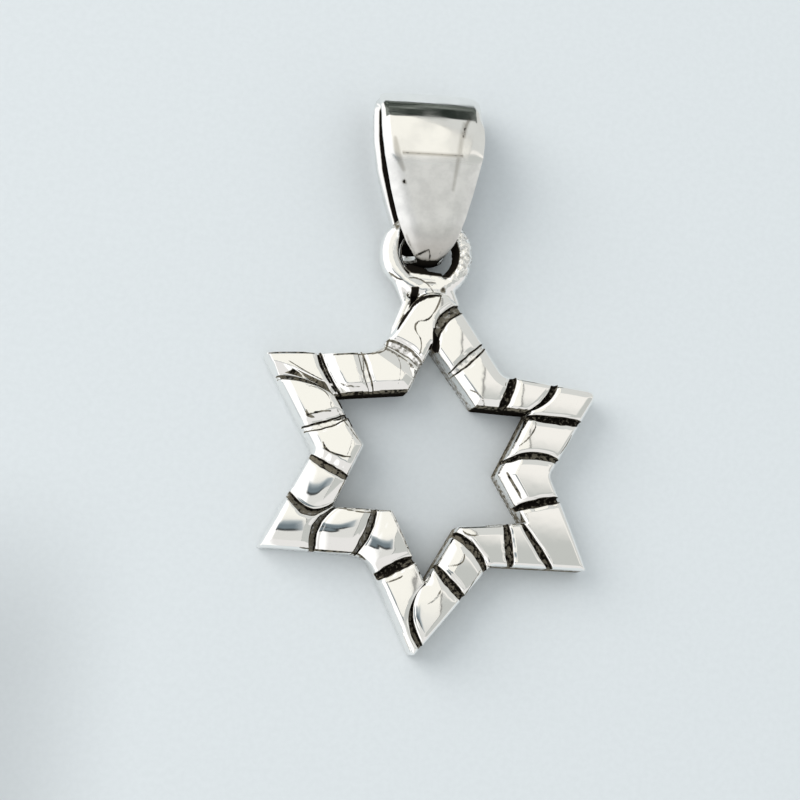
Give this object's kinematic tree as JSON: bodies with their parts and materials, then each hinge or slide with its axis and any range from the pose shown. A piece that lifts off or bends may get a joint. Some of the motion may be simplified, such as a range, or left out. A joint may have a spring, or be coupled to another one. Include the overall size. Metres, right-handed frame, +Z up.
{
  "type": "star pendant",
  "caption": "Open six-pointed silver star pendant with dark grooves cut across its band, a soldered ring and a tapered bail, lying on its back.",
  "frame": {"origin": "middle of the pendant's outline seen from above, on the surface it lies on", "axes": "+Z up from the surface out of the pendant's face, +Y from the bottom tip towards the bail, +X to the right of the face"},
  "size_m": [0.0168, 0.0282, 0.0035],
  "materials": {
    "grooved_silver": "polished silver with blackened grooves and a rougher cast ring",
    "bail_silver": "polished silver, softly burnished on its face"
  },
  "bodies": {
    "root": {"star": "grooved_silver", "bail": "bail_silver"}
  },
  "joints": []
}
